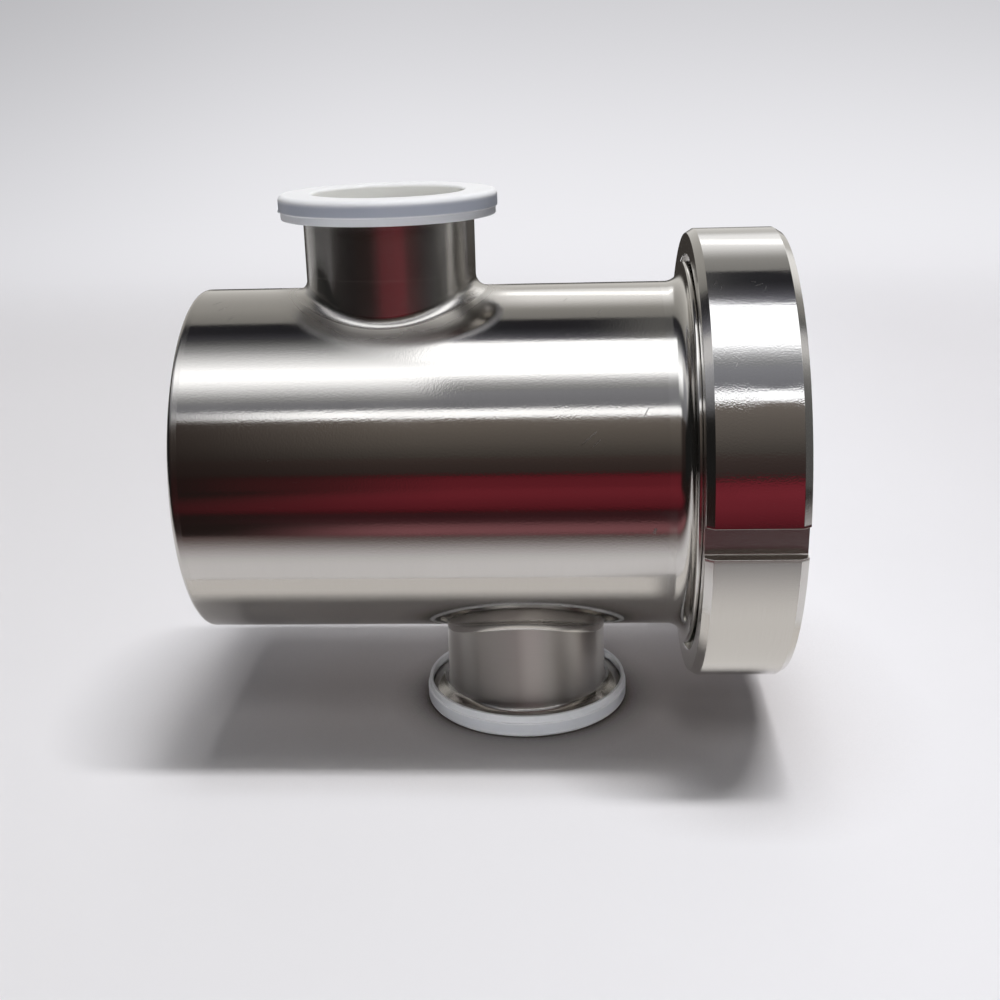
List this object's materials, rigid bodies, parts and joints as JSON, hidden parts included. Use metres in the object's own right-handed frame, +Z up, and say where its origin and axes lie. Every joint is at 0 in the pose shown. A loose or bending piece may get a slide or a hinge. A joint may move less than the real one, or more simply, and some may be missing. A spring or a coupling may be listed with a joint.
{
  "type": "air gap fitting",
  "caption": "Stainless air gap fitting: a lying tube with capped clamp ports above and below and a slotted ring nut round its vented end.",
  "frame": {"origin": "under the outlet's axis, in the plane of the outlet cap's base, which the fitting stands on", "axes": "+X along the tube from its blind end to the ring nut, +Z up through the inlet"},
  "size_m": [0.1791, 0.14, 0.1674],
  "materials": {
    "satin_tube": "satin, ground round the tube",
    "turned_steel": "fine turned",
    "bright_nut": "finely turned, almost a mirror, with small scratches",
    "vent_steel": "rolled sheet, punched",
    "cap_plastic": "translucent moulded polyethylene",
    "gasket_rubber": "black moulded rubber",
    "washer_plastic": "smooth white"
  },
  "bodies": {
    "root": {"body_tube": "satin_tube", "end_plate": "satin_tube", "inlet_ferrule": "turned_steel", "outlet_ferrule": "turned_steel", "inlet_cap": "cap_plastic", "outlet_cap": "cap_plastic", "union_ring": "turned_steel", "ring_nut": "bright_nut", "ring_gasket": "gasket_rubber", "vent_disc": "vent_steel", "slip_washer": "washer_plastic"}
  },
  "joints": []
}
